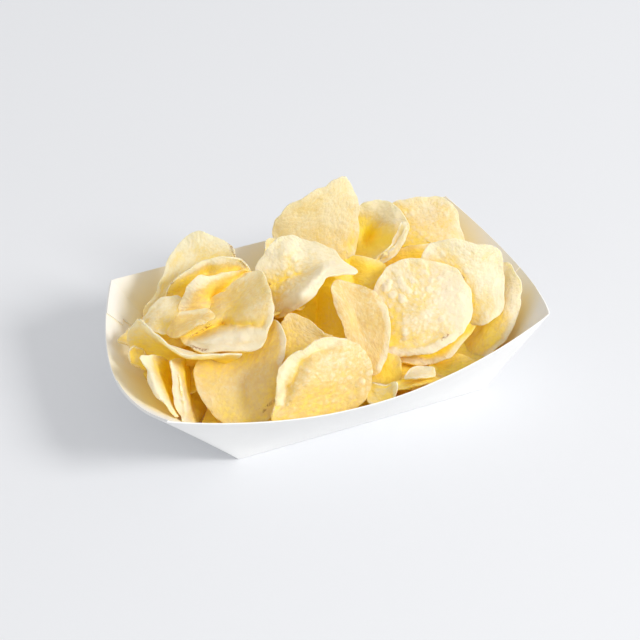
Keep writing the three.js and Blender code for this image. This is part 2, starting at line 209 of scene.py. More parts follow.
         folds=[((-7, 3), (-7.5, -9.5), -5, 7)]),
    dict(name="behind_centre", at=(15, 3, 47), tint=0.7, toast=0.2,
         rim=[(17, 2, 1), (15.5, 8, 0), (11.5, 11.5, -1), (6, 13, -2), (-1, 13, -3),
              (-7.5, 11.5, -3), (-12.5, 8, -2), (-14, 1, 0), (-11.5, -5.5, 1), (-3, -9.5, 2),
              (6, -10.5, 3), (13.5, -5.5, 3)],
         folds=[((-2, 10.5), (1, -5.5), -3, 8)],
         painted_shade=[(7, (-12.5, 6), (-1, 8.5), (12.5, 6))]),
    dict(name="centre_disc", at=(7, -24, 44), tint=0.4, toast=0.7,
         rim=[(13.5, 0, 1), (12.5, 6, 0), (9.5, 12, -2), (4, 16.5, -4), (-2, 18.5, -5),
              (-8.5, 20, -5), (-13.5, 20.5, -4), (-14, 14.5, -1), (-12, 6.5, 2), (-9, -0.5, 3),
              (-7, -8, 3), (-5, -14.5, 3), (-1, -20.5, 3), (5, -24, 3), (9.5, -19, 3),
              (12, -9.5, 2)],
         middle=(-2, 0, -2),
         pale_and_highlight=[(3, (10, 10), (13.5, 0), (12, -9.5), (8.5, -20))]),
    dict(name="right_blistered", at=(37, -26, 46), tint=0.55, toast=0.1, blisters=0.6,
         rim=[(24.5, -3.5, -2), (23.5, 7.5, -6), (19, 16, -7), (13, 20, -8), (5, 22.5, -8),
              (-4, 24, -8), (-11, 22.5, -8), (-16.5, 19, -8), (-21.5, 12.5, -7), (-24, 1.5, -4),
              (-23.5, -10.5, 0), (-21, -20, 3), (-14.5, -22.5, 5), (-5, -22, 6), (6.5, -20.5, 5),
              (18, -13.5, 0)],
         middle=(0, 0, -1),
         folds=[((-16, -17.5), (8.5, -12.5), -2, 6)],
         bubbles=[((-17, 9.5), 2.5, 0.9), ((-14, 6), 2, 0.5), ((-9, 10.5), 2, 0.5),
                  ((-6, 8), 1.5, 0.5), ((-9, 4), 2, 0.6), ((-19.5, 4), 2, 0.5)],
         pale_and_highlight=[(2.5, (-18.5, -20.5), (-6, -20.5), (6.5, -19), (17, -12.5)),
               (12, (18.5, 12.5), (21, -3.5))],
         marks=[(1, (9, -15.5), (12, -13))]),
    dict(name="right_under", at=(37, -26, 38), tint=0.5,
         rim=[(27, 0, -4), (22.5, 10.5, -8), (11.5, 15, -10), (-0.5, 17.5, -10), (-11, 15, -10),
              (-17, 8, -8), (-19.5, -4, -4), (-18, -16.5, 1), (-8, -19, 3), (4, -19.5, 4),
              (11.5, -17.5, 4), (19.5, -10, 2)],
         pale_and_highlight=[(3, (-17.5, -16), (4, -18.5), (11.5, -16.5), (21, -7.5))],
         painted_shade=[(6, (9, -11), (21, -3))]),
    dict(name="right_pale", at=(60, -23, 48), tint=-0.15, blisters=0.3,
         rim=[(20, 2.5, -4), (19.5, 10.5, -4), (19, 17, -4), (15.5, 21, -3), (9.5, 22, -2),
              (3.5, 22, -2), (-2.5, 24, -2), (-10.5, 23.5, -3), (-18, 20.5, -4), (-20, 11.5, -5),
              (-17.5, -2.5, -5), (-10.5, -13.5, -5), (-2, -17.5, -4), (5.5, -17.5, 1),
              (12.5, -15, 4), (19, -10.5, 0)],
         marks=[(1, (-5, 10), (-4, 9)), (1, (-2.5, 9.5), (0.5, 5.5))]),
    dict(name="right_low", at=(70, -31, 33), tint=0.2, toast=0.2,
         rim=[(15, 4.5, 0), (16, 12.5, -2), (14.5, 21, -5), (10, 27.5, -9), (3, 21, -13),
              (-4.5, 9, -14), (-11.5, -3, -10), (-18, -14, -4), (-16, -23.5, 3), (-8, -23.5, 5),
              (2, -15.5, 5), (10.5, -6, 3)],
         pale_and_highlight=[(2.5, (15.5, 16.5), (15, 4.5), (7, -10), (-3, -19.5)), (9, (10, 21), (12.5, 6.5))]),
    dict(name="curled_back", at=(43, 28, 47), tint=0.35, toast=0.15,
         rim=[(10.5, 4, 9), (11, 10, 6), (8.5, 15.5, 1), (3.5, 20, -5), (-3, 21.5, -8),
              (-10, 20, -9), (-15, 15.5, -9), (-18, 6.5, -9), (-19, -3, -9), (-16.5, -9.5, -4),
              (-11, -14.5, 4), (-6.5, -12.5, 10), (-2.5, -9.5, 13), (1.5, -6.5, 14),
              (5.5, -4, 14), (9, -0.5, 12)],
         middle=(-7, 2, -13),
         folds=[((-8, -10.5), (0, -6.5), 3, 4), ((0, -6.5), (5.5, 0), 3, 4)],
         pale_and_highlight=[(3, (-9, -13.5), (-1.5, -8.5), (4, -5), (9, 1), (10.5, 9)),
               (8, (-11, 18.5), (-3, 20), (6, 16))],
         painted_shade=[(9, (-17, -7), (-8, -3), (1, 1.5))]),
    dict(name="curled_lip", at=(38, 15, 52), tint=-0.2, form=SMALL,
         rim=[(10, 8.5, 1), (9.5, 13, -2), (7, 15.5, -4), (6, 9.5, -2), (3.5, 4, 1),
              (-1, -0.5, 2), (-6, -5, 1), (-13, -9.5, -2), (-10.5, -11.5, -1), (-5, -7.5, 3),
              (2, -3.5, 4), (7.5, 2.5, 3)],
         middle=(1, 0, 3)),
    dict(name="back_right", at=(68, 30, 45), tint=0.2, toast=0.1, blisters=0.4,
         rim=[(18, -3.5, -1), (15.5, 6, -1), (12, 14, -2), (6, 18, -3), (-1, 17.5, -4),
              (-8, 17, -5), (-16.5, 16, -6), (-23, 7.5, -5), (-24, -5, -2), (-20, -15.5, 3),
              (-8.5, -18, 5), (5.5, -15.5, 4)]),
    dict(name="behind_right", at=(51, 12, 44), tint=0.6, toast=0.3,
         rim=[(21, 0, -2), (18, 5, -3), (11.5, 7.5, -4), (3.5, 8.5, -4), (-4.5, 7, -3),
              (-11.5, 3.5, -2), (-16, -0.5, 0), (-15.5, -6.5, 2), (-8.5, -11, 3), (0, -12, 3),
              (10, -10, 2), (17, -6, 0)],
         folds=[((-10.5, 0), (15, 0), -3, 8)],
         painted_shade=[(7, (-12.5, -3), (15, 0))]),
    dict(name="back_corner", at=(80, 34, 45), tint=-0.2,
         rim=[(9, -7.5, -3), (6.5, -0.5, -3), (3, 5.5, -3), (0, 8.5, -3), (-5, 8.5, -4),
              (-11, 6.5, -5), (-14, 0.5, -5), (-13, -8.5, -4), (-8, -16, -3), (-0.5, -18.5, -2),
              (5.5, -16.5, -2), (9, -12.5, -2)]),
    dict(name="back_bit", at=(-5, 41, 41), tint=0.6, form=SMALL,
         rim=[(10, 2, 0), (7.5, 8, 0), (3, 10, -1), (-2, 11.5, -2), (-6.5, 11, -2),
              (-9.5, 9.5, -1), (-9.5, 2.5, 0), (-8, -3, 0), (-3, -8, 0), (3, -9, 0), (7.5, -7, 0),
              (10, -3, 0)]),
    dict(name="front_shade", at=(14, -41, 31), tint=0.8, toast=0.5, form=SMALL,
         rim=[(5, -2, 0), (4.5, 2.5, -3), (0, 4.5, -4), (-6, 5.5, -4), (-10.5, 3.5, -3),
              (-12.5, -2, -2), (-11.5, -7.5, 0), (-8.5, -12.5, 1), (-5, -14.5, 2), (-1.5, -14, 2),
              (2.5, -11.5, 2), (5, -7.5, 1)],
         painted_shade=[(8, (-6, 0.5), (-0.5, -6))]),
    dict(name="front_tip", at=(6, -54, 31), tint=-0.1, form=SMALL,
         rim=[(4.5, -1.5, 4), (4.5, 1.5, 4), (2.5, -0.5, 1), (-0.5, -1.5, 0), (-4, 0, 0),
              (-7.5, 0.5, -1), (-10, -3.5, 0), (-9, -8.5, 0), (-4, -10.5, 0), (0.5, -9, 1),
              (3, -7, 2), (4, -4.5, 3)],
         pale_and_highlight=[(2, (4.5, 0), (4, -6))]),
    dict(name="front_lip", at=(24, -54, 33), tint=0.2, form=SMALL,
         rim=[(6.5, -1.5, 2), (5.5, 1.5, -1), (2, 2.5, -3), (-2, 2, -4), (-5.5, 0, -3),
              (-8, -2.5, -1), (-8.5, -4, 1), (-5.5, -3.5, 4), (-2, -3, 5), (2, -3, 5),
              (4.5, -3, 4), (6, -2.5, 3)]),
    dict(name="front_under_lip", at=(24, -54, 31), tint=1, toast=0.5, form=SMALL,
         rim=[(10.5, -1, 0), (6.5, 0, -2), (1.5, -1, -3), (-4, -2, -3), (-9.5, -3, -2),
              (-13, -5.5, 0), (-12, -8, 2), (-8, -7, 4), (-3.5, -5.5, 5), (1, -4, 5),
              (5.5, -2.5, 4), (9, -1.5, 2)]),
    dict(name="front_right", at=(37, -42, 26), tint=1, toast=0.4,
         rim=[(20, -0.5, -3), (14.5, 2, -4), (7, 2.5, -6), (-2, 2, -8), (-11.5, 2, -8),
              (-20.5, 1, -6), (-25, -4.5, -3), (-23.5, -14, 0), (-17, -19.5, 2), (-5, -16.5, 3),
              (6.5, -11.5, 3), (16, -6, 1)],
         painted_shade=[(6, (-17.5, -13), (-0.5, -8)), (6, (-17, -2.5), (2, -1.5))]),
]

# Rows of crisps behind and between those, each row from one place to another.
ROWS = [
    dict(start=(-62, 37, 27), end=(70, 39, 28), count=5, lean=-45, facing=(10, -25)),
    dict(start=(76, 16, 33), end=(75, -4, 31), count=2, lean=38, facing=(95, 75)),
    dict(start=(-72, 27, 30), end=(-74, 4, 26), count=2, lean=30, facing=(-110, -70)),
    dict(start=(-26, 18, 27), end=(68, 2, 25), count=4, lean=12, facing=(170, 60)),
    dict(start=(-56, -35, 17), end=(52, -39, 21), count=4, lean=-6, facing=(-10, -20)),
    dict(start=(-26, 17, 37), end=(12, 21, 37), count=2, lean=16, facing=(165, 200)),
]
# A row's crisps differ by up to the spread, which turns them by so much more, curls them more
# and tints them deeper towards gold.
ROW_CRISP = {"length": 42, "width": 38, "turn": 40, "curl": (14, 6), "buckle": 1.8, "toast": 0.25}
ROW_SPREAD = {"most": 3, "pace": 2.4, "lean": 3, "curl": (1.2, 0.25), "tint": (0.4, 0.1)}

# The broken crisps under the heap: how far to the right they lie, the height of each level and
# its length and width, and how rough they are above the paper.
CORE_RIGHT = 4
CORE = [(0.9, 120, 77), (12, 128, 82), (20, 112, 66), (28, 80, 44), (31, 40, 22)]
ROUGH = {"depth": 5, "above": 3, "cuts": 20}

# ---------------------------------------------------------------- modelling helpers


def deselect_all():
    for item in list(bpy.context.selected_objects):
        item.select_set(False)


def take(piece):
    """Makes the piece the only selected and the active object."""
    deselect_all()
    piece.select_set(True)
    bpy.context.view_layer.objects.active = piece


def named(name):
    piece = bpy.context.object
    piece.name = name
    piece.data.name = name
    return piece


def copy_of(piece, name):
    """A copy with a mesh of its own."""
    twin = piece.copy()
    twin.data = piece.data.copy()
    twin.name = name
    twin.data.name = name
    bpy.context.scene.collection.objects.link(twin)
    return twin


def edit(piece, kind="points"):
    take(piece)
    kinds = ("points", "edges", "faces")
    bpy.context.tool_settings.mesh_select_mode = [kind == one for one in kinds]
    bpy.ops.object.mode_set(mode="EDIT")


def done():
    bpy.ops.object.mode_set(mode="OBJECT")


def select_all():
    """Selects all of the mesh that is being edited."""
    bpy.ops.mesh.select_all(action="SELECT")


def pick(piece, points=None, edges=None, faces=None):
    """Selects points, edges or faces by a test of their place, and opens the piece in edit mode."""
    mesh = piece.data
    for part in (mesh.vertices, mesh.edges, mesh.polygons):
        part.foreach_set("select", [False] * len(part))
    if points:
        for point in mesh.vertices:
            point.select = points(point.co)
        edit(piece, "points")
    if edges:
        for edge in mesh.edges:
            ends = [mesh.vertices[i].co for i in edge.vertices]
            edge.select = edges(*ends)
        edit(piece, "edges")
    if faces:
        for face in mesh.polygons:
            face.select = faces(face)
        edit(piece, "faces")


def apply_modifier(piece, kind, **values):
    take(piece)
    modifier = piece.modifiers.new(kind.lower(), kind)
    for key, value in values.items():
        setattr(modifier, key, value)
    bpy.ops.object.modifier_apply(modifier=modifier.name)


def displace(piece, texture, depth, group, middle=0.5, **values):
    """Moves the surface by a texture, so deep and within a group of its points."""
    apply_modifier(piece, "DISPLACE", texture=texture, texture_coords="GLOBAL", strength=depth,
                   mid_level=middle, vertex_group=group, **values)


def settle(piece):
    """Moves the object's place, turn and scale into its mesh."""
    take(piece)
    bpy.ops.object.transform_apply(location=True, rotation=True, scale=True)


def joined(pieces, name):
    deselect_all()
    for piece in pieces:
        piece.select_set(True)
    bpy.context.view_layer.objects.active = pieces[0]
    if len(pieces) > 1:
        bpy.ops.object.join()
    return named(name)


def soften(piece, angle):
    take(piece)
    bpy.ops.object.shade_smooth_by_angle(angle=math.radians(angle))


def paint(piece, material):
    piece.data.materials.clear()
    piece.data.materials.append(material)


# ---------------------------------------------------------------- textures of the relief


def drawn(name, kind, **values):
    """A procedural texture that modifiers read."""
    texture = bpy.data.textures.new(name, kind)
    for key, value in values.items():
        setattr(texture, key, value)
    return texture


def blister_texture(name, cell):
    """Round bumps with soft feet, so far apart."""
    texture = drawn(name, "VORONOI", noise_scale=cell, use_color_ramp=True)
    texture.color_ramp.interpolation = "EASE"
    top, foot = texture.color_ramp.elements
    top.position = 0.05
    top.color = (1, 1, 1, 1)
    foot.position = 0.5
    foot.color = (0, 0, 0, 1)
    return texture


PAPER_UNEVEN = drawn("paper_uneven", "CLOUDS", noise_scale=38 * MM, noise_depth=1)
WAVES = drawn("waves", "CLOUDS", noise_scale=21, noise_depth=1)
BUCKLES = drawn("buckles", "CLOUDS", noise_scale=8, noise_depth=1, cloud_type="COLOR")
DIMPLES = drawn("dimples", "CLOUDS", noise_scale=6, noise_depth=2)
RUBBLE = drawn("rubble", "VORONOI", noise_scale=9 * MM)
BIG_BLISTERS = blister_texture("big_blisters", 4.6)
SMALL_BLISTERS = blister_texture("small_blisters", 2.4)

# ---------------------------------------------------------------- materials

BLACK = (0, 0, 0, 1)
WHITE = (1, 1, 1, 1)


class Finish:
    """A material, with a short way to add each kind of node that it is built from."""

    def __init__(self, name):
        self.material = bpy.data.materials.new(name)
        self.material.use_nodes = True
        self.tree = self.material.node_tree
        self.shader = self.tree.nodes["Principled BSDF"]

    def put(self, value, socket):
        """Links another node's output to a socket, or gives the socket a value."""
        if isinstance(value, bpy.types.NodeSocket):
            self.tree.links.new(value, socket)
        else:
            socket.default_value = value

    def add(self, kind, **sockets):
        node = self.tree.nodes.new("ShaderNode" + kind)
        for name, value in sockets.items():
            self.put(value, node.inputs[name])
        return node

    def place(self):
        return self.add("TexCoord").outputs["Object"]

    def attribute(self, name, output="Fac"):
        node = self.add("Attribute")
        node.attribute_name = name
        return node.outputs[output]

    def noise(self, vector, scale, detail=3, roughness=0.55):
        node = self.add("TexNoise", Vector=vector, Scale=scale, Detail=detail,
                        Roughness=roughness)
        return node.outputs["Fac"]

    def open_air(self, distance, samples):
        """How open the surface is: full in the clear, none where it is shut in."""
        node = self.add("AmbientOcclusion", Distance=distance)
        node.samples = samples
        return node.outputs["AO"]

    def stops(self, value, places):
        """A colour ramp with a colour at each of several places."""
        node = self.add("ValToRGB", Fac=value)
        elements = node.color_ramp.elements
        for _ in places[2:]:
            elements.new(0.5)
        for element, (place, colour) in zip(elements, places):
            element.position = place
            element.color = colour
        return node.outputs["Color"]

    def ramp(self, value, low, high, first=BLACK, second=WHITE):
        return self.stops(value, [(low, first), (high, second)])

    def mix(self, amount, first, second):
        """One colour over another, by the amount."""
        node = self.add("Mix")
        node.data_type = "RGBA"
        self.put(amount, node.inputs[0])
        self.put(first, node.inputs[6])
        self.put(second, node.inputs[7])
        return node.outputs[2]

    def sum(self, operation, first, second, clamp=True):
        node = self.add("Math")
        node.operation = operation
        node.use_clamp = clamp
        self.put(first, node.inputs[0])
        self.put(second, node.inputs[1])
        return node.outputs[0]

    def times(self, first, second):
        return self.sum("MULTIPLY", first, second)

    def bump(self, height, distance, strength, before=None):
        node = self.add("Bump", Height=height, Distance=distance, Strength=strength)
        if before:
            self.put(before, node.inputs["Normal"])
        return node.outputs["Normal"]

    def coat(self, colour, normal=None):
        """Gives the shader its colour, and its relief if it has one."""
        self.put(colour, self.shader.inputs["Base Color"])
        if normal:
            self.put(normal, self.shader.inputs["Normal"])
        return self.material


def fried_potato():
    """Light cream where a crisp stands clear, deep gold where it is sheltered: a painted shade read
    from how shut in the surface is.
    """
    finish = Finish("fried_potato")
    flat = finish.attribute("flat", "Vector")
    # Painted highlight: a band along every rim is made lighter, standing in for the light that the
    # crisps' thin edges catch.
    painted_rim_highlight = finish.ramp(finish.attribute("rim"), 0.82, 1.0)
    # Painted shade: the less open the surface is among the crisps, the deeper gold it is made,
    # standing in for the shade and coloured light inside the heap.
    paleness_and_shade = finish.open_air(0.03, 12)
    for operation, source, share in (
            # The tint makes a crisp deeper gold; on the crisps that lie in shade this is partly
            # painted shade.
            ("SUBTRACT", finish.attribute("tint"), 0.42),
            ("ADD", finish.noise(flat, 560, 5, 0.7), 0.9),
            ("SUBTRACT", finish.noise(flat, 75), 0.95),
            ("ADD", finish.attribute("raised"), 0.8),
            # Lighter lines, partly cream crust and partly painted highlight where rims and flanks
            # catch the light.
            ("ADD", finish.attribute("pale_and_highlight"), 0.7),
            ("ADD", painted_rim_highlight, 0.28)):
        paleness_and_shade = finish.sum(operation, paleness_and_shade, finish.times(source, share), clamp=False)
    # From deep gold, the painted shade of the most shut-in places, to light cream in the open.
    colour = finish.stops(paleness_and_shade, [
        (0.05, (0.99, 0.82, 0.06, 1)),
        (0.28, (0.96, 0.77, 0.12, 1)),
        (0.52, (0.85, 0.68, 0.25, 1)),
        (0.74, (0.82, 0.70, 0.39, 1)),
        (0.98, (0.84, 0.78, 0.58, 1))])

    # Browning is kept off those lighter lines of crust and painted highlight.
    not_pale = finish.sum("SUBTRACT", 1.0, finish.attribute("pale_and_highlight"))
    toasted = finish.times(finish.attribute("toast"), not_pale)
    mottled = finish.ramp(finish.noise(flat, 480, 4, 0.65), 0.38, 0.62)
    mottled = finish.sum("ADD", mottled, 0.45, clamp=False)
    colour = finish.mix(finish.times(toasted, mottled), colour, (0.79, 0.58, 0.23, 1))
    # Painted shade: the listed lines are turned deep gold where the crisp lies in shadow between
    # others.
    painted_shade = finish.ramp(finish.attribute("painted_shade"), 0.0, 0.8)
    colour = finish.mix(painted_shade, colour, (0.99, 0.73, 0.08, 1))

    brown_skin = (0.34, 0.14, 0.03, 1)
    specks = finish.ramp(finish.noise(flat, 900, 2), 0.70, 0.78)
    patches = finish.ramp(finish.noise(flat, 110, 1), 0.55, 0.66)
    specks = finish.times(finish.times(specks, patches), 0.55)
    colour = finish.mix(specks, colour, brown_skin)
    broken = finish.ramp(finish.noise(flat, 1100, 2), 0.40, 0.58)
    scorched = finish.ramp(finish.attribute("scorched"), 0.15, 0.7)
    scorched = finish.times(finish.times(scorched, broken), 0.8)
    colour = finish.mix(scorched, colour, brown_skin)

    shader = finish.shader
    shader.subsurface_method = "BURLEY"
    shader.inputs["Roughness"].default_value = 0.48
    shader.inputs["Specular IOR Level"].default_value = 0.35
    shader.inputs["Subsurface Weight"].default_value = 0.72
    shader.inputs["Subsurface Radius"].default_value = (1.0, 0.85, 0.2)
    shader.inputs["Subsurface Scale"].default_value = 0.003
    pores = finish.add("TexVoronoi", Vector=flat, Scale=620).outputs["Distance"]
    relief = finish.bump(pores, 0.0004, 0.4)
    relief = finish.bump(finish.noise(flat, 420), 0.0012, 0.45, relief)
    relief = finish.bump(finish.noise(flat, 1500), 0.0002, 0.5, relief)
    return finish.coat(colour, relief)


def white_paper():
    """White board, with a painted warm reflection of the crisps on its inside where they lie near
    it.
    """
    finish = Finish("white_paper")
    place = finish.place()
    colour = finish.ramp(finish.noise(place, 45), 0.3, 0.7, (0.90, 0.90, 0.89, 1),
                         (0.925, 0.925, 0.915, 1))
    normal = finish.add("NewGeometry").outputs["True Normal"]
    up = finish.add("SeparateXYZ", Vector=normal).outputs["Z"]
    inside = finish.ramp(up, 0.02, 0.15)
    # Painted reflection: the inside of the paper is warmed towards the crisps' colour the less open
    # it is, standing in for light bounced off the crisps.
    close = finish.ramp(finish.open_air(0.035, 8), 0.25, 0.85, WHITE, BLACK)
    colour = finish.mix(finish.times(close, inside), colour, (0.98, 0.88, 0.54, 1))
    finish.shader.inputs["Roughness"].default_value = 0.62
    finish.shader.inputs["Specular IOR Level"].default_value = 0.3
    fibres = finish.noise(place, 1300, 4, 0.7)
    return finish.coat(colour, finish.bump(fibres, 0.00012, 0.5))


def studio_sweep():
    finish = Finish("studio_sweep")
    colour = finish.ramp(finish.noise(finish.place(), 1.5, 2), 0.3, 0.7,
                         (0.815, 0.826, 0.852, 1), (0.83, 0.841, 0.866, 1))
    finish.shader.inputs["Roughness"].default_value = 0.85
    finish.shader.inputs["Specular IOR Level"].default_value = 0.15
    return finish.coat(colour)


# ---------------------------------------------------------------- the tray


def tray_skin():
    """The tray's outer face as one sheet, its walls drawn up from the base and bowed."""
    deselect_all()
    bpy.ops.mesh.primitive_plane_add(size=MM)
    skin = named("tray_skin")
    edit(skin)
    select_all()
    bpy.ops.transform.resize(value=(BASE[0], BASE[1], 1))
    bpy.ops.mesh.delete(type="ONLY_FACE")
    select_all()
    rise = (0, 0, RIM[2] * MM)
    bpy.ops.mesh.extrude_region_move(TRANSFORM_OT_translate={"value": rise})
    bpy.ops.transform.resize(value=(RIM[0] / BASE[0], RIM[1] / BASE[1], 1), center_override=rise)
    done()
    pick(skin, points=lambda p: p.z > 0 and p.x < 0 and p.y < 0)
    bpy.ops.transform.translate(value=Vector(EASED_CORNER) * MM)
    done()
    half_rise = RIM[2] * MM / 2
    pick(skin, edges=lambda a, b: abs(a.z - b.z) < half_rise)
    bpy.ops.mesh.subdivide(number_cuts=WALL_STEPS - 1)
    done()
    corners = rim_corners()
    for i, outward in enumerate([(0, -1), (1, 0), (0, 1), (-1, 0)]):
        wall = LONG_WALL if outward[0] == 0 else END_WALL
        bow_rim(skin, corners[i], corners[(i + 1) % 4], outward, wall)
    pick(skin, edges=lambda a, b: abs(a.z - b.z) > half_rise)
    bpy.ops.mesh.subdivide(number_cuts=WALL_LEVELS - 1)
    done()
    pick(skin, edges=lambda a, b: max(a.z, b.z) < MM)
    bpy.ops.mesh.edge_face_add()
    select_all()
    bpy.ops.mesh.normals_make_consistent(inside=False)
    done()
    return skin


def rim_corners():
    signs = [(-1, -1), (1, -1), (1, 1), (-1, 1)]
    corners = [Vector((sx * RIM[0] / 2, sy * RIM[1] / 2, RIM[2])) * MM for sx, sy in signs]
    corners[0] += Vector(EASED_CORNER) * MM
    return corners


def bow_rim(skin, start, end, outward, wall):
    """Draws the middle of one wall's rim out and down, the rest following in a parabola."""
    along = end - start

    def on_rim(p):
        share = (p - start).dot(along) / along.length_squared
        return -ON_TRAY < share < 1 + ON_TRAY and (start + along * share - p).length < ON_TRAY

    pick(skin, points=on_rim)
    bpy.ops.mesh.hide(unselected=True)
    done()
    middle = (start + end) / 2
    pick(skin, points=lambda p: (p - middle).length < ON_TRAY)
    move = Vector((outward[0] * wall["bow"], outward[1] * wall["bow"], -wall["dip"])) * MM
    bpy.ops.transform.translate(value=move, use_proportional_edit=True,
                                proportional_edit_falloff="INVERSE_SQUARE",
                                proportional_size=along.length / 2)
    bpy.ops.mesh.reveal(select=False)
    done()


def rounded_folds(piece):
    """Rounds the four corner folds, more towards the rim, and the fold round the base."""
    mesh = piece.data
    widest = FOLD["rim"]
    weights = mesh.attributes.new("bevel_weight_edge", "FLOAT", "EDGE")
    corners = rim_corners()
    feet = [Vector((math.copysign(BASE[0] / 2 * MM, c.x), math.copysign(BASE[1] / 2 * MM, c.y), 0))
            for c in corners]
    for edge in mesh.edges:
        a, b = (mesh.vertices[i].co for i in edge.vertices)
        middle = (a + b) / 2
        if max(a.z, b.z) < MM * 0.1:
            weights.data[edge.index].value = FOLD["base"] / widest
            continue
        share = middle.z / RIM[2] / MM
        for foot, corner in zip(feet, corners):
            if (foot.lerp(corner, share) - middle).length < MM and abs(a.z - b.z) > MM:
                size = FOLD["foot"] + (FOLD["rim"] - FOLD["foot"]) * share
                weights.data[edge.index].value = size / widest
    apply_modifier(piece, "BEVEL", limit_method="WEIGHT", width=widest * MM,
                   segments=FOLD["segments"], use_clamp_overlap=True)


def make_uneven(piece):
    """Makes the walls very slightly uneven, and leaves the base flat."""
    walls = piece.vertex_groups.new(name="walls")
    for point in piece.data.vertices:
        walls.add([point.index], min(1, point.co.z / MM / UNEVEN["full_from"]), "REPLACE")
    displace(piece, PAPER_UNEVEN, UNEVEN["depth"] * MM, walls.name)


def tray_paper(skin):
    """The tray's paper: folds rounded, very slightly uneven, and given its thickness."""
    paper = copy_of(skin, "tray_paper")
    rounded_folds(paper)
    make_uneven(paper)
    apply_modifier(paper, "SOLIDIFY", thickness=PAPER * MM, offset=-1, use_even_offset=True)
    return paper


def slope_towards(slope, end, way):
    """The normal of the face through a slope of the end wall, pointing the given way."""
    normal = slope.cross(Vector((end, 0, 0)))
    return -normal if normal.dot(way) < 0 else normal


def glue_flap(skin, end, side, share):
    """One corner's flap, a triangle that lies on the inside of the end wall."""
    flap = copy_of(skin, "tray_flap")
    pick(flap, faces=lambda face: face.normal.x * end < 0.5)
    bpy.ops.mesh.delete(type="FACE")
    corner = min(rim_corners(), key=lambda c: (c.x * end < 0) + (c.y * side < 0))
    other = min(rim_corners(), key=lambda c: (c.x * end < 0) + (c.y * side > 0))
    foot = Vector((end * BASE[0] / 2, side * BASE[1] / 2, 0)) * MM
    belly = 4 * share * (1 - share)
    tip = corner.lerp(other, share)
    tip += Vector((end * END_WALL["bow"], 0, -END_WALL["dip"])) * belly * MM
    select_all()
    bpy.ops.mesh.bisect(plane_co=foot, plane_no=slope_towards(tip - foot, end, foot - corner),
                        clear_outer=True)
    sideways = Vector((0, side, 0))
    select_all()
    bpy.ops.mesh.bisect(plane_co=foot - sideways * FLAP["trim"] * MM,
                        plane_no=slope_towards(corner - foot, end, sideways), clear_outer=True)
    select_all()
    bpy.ops.transform.shrink_fatten(value=-(PAPER + FLAP["glue"]) * MM)
    done()
    make_uneven(flap)
    apply_modifier(flap, "SOLIDIFY", thickness=FLAP["paper"] * MM, offset=-1)
    return flap


def room_for_crisps(skin):
    """The face that no crisp's middle sheet may cross: the tray's inside, carried on upwards."""
    room = copy_of(skin, "room")
    edit(room, "edges")
    bpy.ops.mesh.select_all(action="DESELECT")
    bpy.ops.mesh.select_non_manifold(extend=False)
    rise = (0, 0, ROOM["rise"] * MM)
    bpy.ops.mesh.extrude_region_move(TRANSFORM_OT_translate={"value": rise})
    wider = (ROOM["widening"], ROOM["widening"], 1)
    bpy.ops.transform.resize(value=wider, center_override=(0, 0, RIM[2] * MM))
    select_all()
    inset = PAPER + CRISP["thickness"] / 2 + CRISP["clear"]
    bpy.ops.transform.shrink_fatten(value=-inset * MM)
    done()
    return room


# ---------------------------------------------------------------- a crisp on the bench


def crisp_blank(form):
    """A flat round of unit radius in rings of faces, the start of every crisp."""
    deselect_all()
    bpy.ops.mesh.primitive_circle_add(vertices=form["sides"], radius=1, fill_type="NGON")
    blank = named("blank")
    edit(blank, "faces")
    select_all()
    for _ in range(form["rings"] - 1):
        bpy.ops.mesh.inset(thickness=1 / form["rings"], depth=0)
    bpy.ops.mesh.poke()
    done()
    outwards = [min(1, point.co.length) for point in blank.data.vertices]
    rim = blank.data.attributes.new("rim", "FLOAT", "POINT")
    rim.data.foreach_set("value", outwards)
    towards_rim = blank.vertex_groups.new(name="towards_rim")
    least = RELIEF["at_middle"]
    for index, out in enumerate(outwards):
        towards_rim.add([index], least + (1 - least) * out ** 3, "REPLACE")
    return blank


def lay_out(blank, name, size, order, values):
    """A flat sheet of the crisp's size, with the values that its colour comes from."""
    piece = copy_of(blank, name)
    piece.scale = (size[0] / 2, size[1] / 2, 1)
    settle(piece)
    mesh = piece.data
    flat = mesh.attributes.new("flat", "FLOAT_VECTOR", "POINT")
    for point in mesh.vertices:
        place = (point.co.x * MM, point.co.y * MM, order * PATTERN_STEP)
        flat.data[point.index].vector = place
    for key, value in values.items():
        kept = mesh.attributes.new(key, "FLOAT", "POINT")
        kept.data.foreach_set("value", [value] * len(mesh.vertices))
    return piece


def nearest(piece, place):
    """The point of the sheet that lies at a place as it is seen from the front."""
    x, y = place[:2]
    return min(piece.data.vertices, key=lambda p: math.hypot(p.co.x - x, p.co.y - y)).index


def pull(piece, place, move, reach, falloff="SMOOTH"):
    """Draws the sheet at one place, the sheet round it following less and less."""
    held = piece.data.vertices[nearest(piece, place)].co.copy()
    pick(piece, points=lambda p: (p - held).length < ON_BENCH)
    bpy.ops.transform.translate(value=move, use_proportional_edit=True,
                                proportional_edit_falloff=falloff, proportional_size=reach)
    done()


